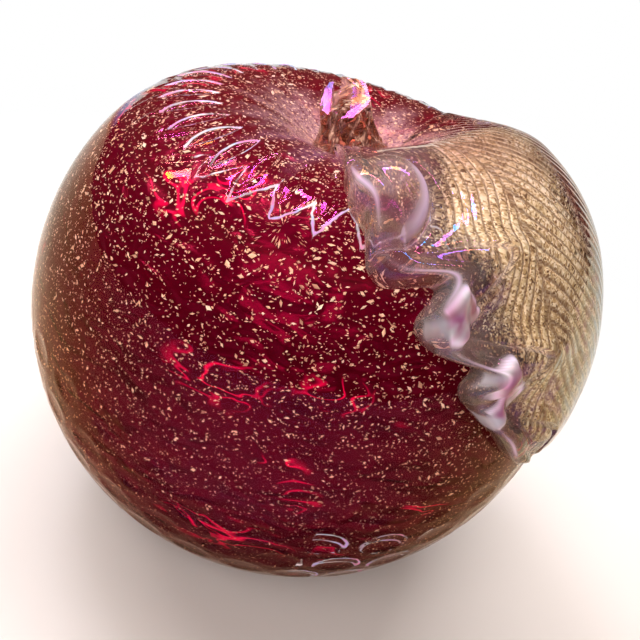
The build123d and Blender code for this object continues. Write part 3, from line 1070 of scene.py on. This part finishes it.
leaf_blade, station, across, round_edge = leaf_form(
    "leaf_blade_glass",
    leaf_start,
    leaf_end,
    counts=(240, 12, 48),
    rings=260,
    edge_round=leaf_edge_round,
    lean=frill_lean,
    section=blade_section,
)
from_base = smooth((station - frill_start) / frill_swell)
frilled = from_base * smooth((leaf_end - station) / frill_tip_ease)
milk = frilled * smooth(-(gold_reach(station)[0] + across) / milk_reach + 0.5)
from_edge = np.where(
    round_edge == 0,
    leaf_widths(station)[0] + frill_lean + across,
    rim_fall * (2 * math.pi - round_edge),
)
uneven = rim_faintest + (1 - rim_faintest) * along_leaf(station)[2] ** 2
margin = from_base * smooth((across - gold_reach(station)[1]) / milk_reach + 0.3)
on_top = (round_edge == 0) | (round_edge > 1.5 * math.pi)
pinch = np.max([flat for flat, _ in pinched(station, across)], axis=0) * on_top
# Painted highlights: pale along the edges, the folds, the curl's crescent and the edges of the pinches.
painted_highlight_parts = (
    uneven * np.exp(-((from_edge / rim_width) ** 2)),
    fold_painted_highlight * folded(station, across),
    curled(station, across)[1],
    (4 * pinch * (1 - pinch)) ** 2,
)
rim = np.where(round_edge < 0.01, np.max(painted_highlight_parts, axis=0), (round_edge > math.pi) * painted_highlight_parts[0]) * frilled
keep(leaf_blade, milk=milk, margin=margin, rim=rim, pinch=pinch)
dress(leaf_blade, bit_glass, "clear_lustre_glass", "leaf_blade")
leaf_blade.visible_shadow = False

# Floor, studio light and camera: a pale floor, white beyond the apple's shadow, a long strip and a small
# window that the glass mirrors, soft light from the front and from above that it doesn't, and the camera
# where the photograph was taken, a hand's breadth over the apple.
floor_drop = 0.2
white_from = 100.0
white_to = 220.0
bpy.ops.object.select_all(action="DESELECT")
bpy.ops.mesh.primitive_plane_add(size=6.0, location=(0, 0, -floor_drop * mm))
floor = bpy.context.active_object
floor.name = "floor"
floor_paint, add, place = start_material("pale_floor")
mottle = add("TexNoise", {"Vector": place, "Scale": per(40), "Detail": 3.0})
pale = add("Mix", {0: mottle, 6: linear("#f1eeec"), 7: linear("#f7f5f3")}, data_type="RGBA")
shader = add("BsdfPrincipled", {"Base Color": pale, "Roughness": 0.9, "Specular IOR Level": 0.1})
from_apple = add("VectorMath", {0: place}, operation="LENGTH")
whitened = add(
    "MapRange",
    {"Value": from_apple, "From Min": white_from * mm, "From Max": white_to * mm},
    interpolation_type="SMOOTHSTEP",
)
rays = add("LightPath").outputs
seen = rays["Is Camera Ray"]
for ray in ("Is Glossy Ray", "Is Transmission Ray"):
    seen = add("Math", {0: seen, 1: rays[ray]}, operation="MAXIMUM")
whitened = add("Math", {0: whitened, 1: seen}, operation="MULTIPLY")
white = add("Emission", {"Color": linear("#ffffff"), "Strength": 1.0})
shown = add("MixShader", {0: whitened, 1: shader, 2: white})
add("OutputMaterial", {"Surface": shown})
floor.data.materials.append(floor_paint)

viewer_turn = math.radians(-58.0)
aim = Vector((0, 0, belly_height)) * mm


def toward(azimuth, elevation):
    """Direction at an angle to the viewer's right and an angle up, in degrees."""
    turn, rise = math.radians(azimuth) + viewer_turn, math.radians(elevation)
    return Vector((math.cos(turn) * math.cos(rise), math.sin(turn) * math.cos(rise), math.sin(rise)))


right = toward(90, 0)
away = toward(180, 0)


def facing(azimuth, elevation, distance):
    """Place and turn of a lamp that faces the apple from a direction and a distance in metres."""
    direction = toward(azimuth, elevation)
    return aim + direction * distance, direction.to_track_quat("Z", "Y")


def lamp(name, place, turn, width, height, watts, colour, mirrored=True):
    """A rectangular lamp, with its sizes in metres. The glass shows it only where it is mirrored."""
    data = bpy.data.lights.new(name, "AREA")
    data.shape = "RECTANGLE"
    data.size = width
    data.size_y = height
    data.energy = watts
    data.color = linear(colour)[:3]
    made = bpy.data.objects.new(name, data)
    bpy.context.scene.collection.objects.link(made)
    made.location = place
    made.rotation_mode = "QUATERNION"
    made.rotation_quaternion = turn
    made.visible_glossy = mirrored


upward = Vector((0, 0, 1))
strip_place = aim + right * -0.22 + away * 0.14 + upward * 0.52
strip_turn = Matrix((right, away, upward)).transposed().to_quaternion()
lamp("lamp_strip", strip_place, strip_turn, 0.85, 0.05, 4.4, "#fff6f2")
lamp("lamp_window", *facing(-127, 59, 0.62), 0.15, 0.11, 0.7, "#f4f4ff")
lamp("lamp_fill", *facing(-10, 42, 0.9), 0.6, 0.6, 5.2, "#fff1ea", mirrored=False)
lamp("lamp_room", *facing(180, 82, 2.2), 2.0, 2.0, 6.0, "#fff8f2", mirrored=False)

world = bpy.data.worlds.new("dim_room")
bpy.context.scene.world = world
world.use_nodes = True
world.node_tree.nodes.clear()
add = partial(add_node, world.node_tree)
sky = add("Background", {"Color": linear("#8a7260"), "Strength": 0.35})
add("OutputWorld", {"Surface": sky})

camera_distance = 216.6
camera_elevation = 30.0
camera_roll = math.radians(17.0)
focal_pixels = 994.0
frame_pixels = 640.0
belly_pixel = (302.4, 306.3)
camera_data = bpy.data.cameras.new("camera")
camera = bpy.data.objects.new("camera", camera_data)
bpy.context.scene.collection.objects.link(camera)
back = toward(0, camera_elevation)
upright = back.cross(right)
across = math.cos(camera_roll) * right + math.sin(camera_roll) * upright
above = -math.sin(camera_roll) * right + math.cos(camera_roll) * upright
camera.matrix_world = Matrix.LocRotScale(
    aim + back * camera_distance * mm, Matrix((across, above, back)).transposed(), None
)
camera_data.sensor_width = 36.0
camera_data.lens = camera_data.sensor_width * focal_pixels / frame_pixels
camera_data.shift_x = (frame_pixels / 2 - belly_pixel[0]) / frame_pixels
camera_data.shift_y = (belly_pixel[1] - frame_pixels / 2) / frame_pixels
camera_data.clip_start = 0.005
bpy.context.scene.camera = camera
bpy.context.scene.view_settings.view_transform = "Standard"
